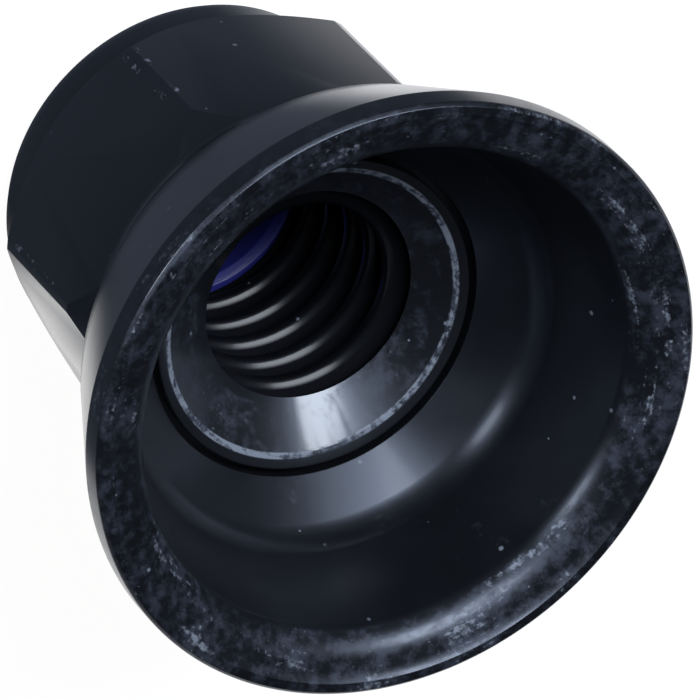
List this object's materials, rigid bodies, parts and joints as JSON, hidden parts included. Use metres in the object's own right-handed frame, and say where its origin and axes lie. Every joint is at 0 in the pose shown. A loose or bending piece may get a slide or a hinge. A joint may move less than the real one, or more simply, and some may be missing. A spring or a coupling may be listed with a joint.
{
  "type": "self-locking bell flange nut",
  "caption": "Black hexagon nut with a deep hollow bell flange at one end and a blue plastic locking ring held in a rolled collar at the other.",
  "frame": {"origin": "on the thread axis, in the plane of the head end's face", "axes": "+Z along the thread axis from the head end to the open rim of the bell, +X through a corner of the hexagon"},
  "size_m": [0.0202, 0.0202, 0.0165],
  "materials": {
    "body_finish": "satin black coated steel",
    "ring_plastic": "smooth blue nylon"
  },
  "bodies": {
    "root": {"nut_body": "body_finish", "locking_ring": "ring_plastic"}
  },
  "joints": []
}
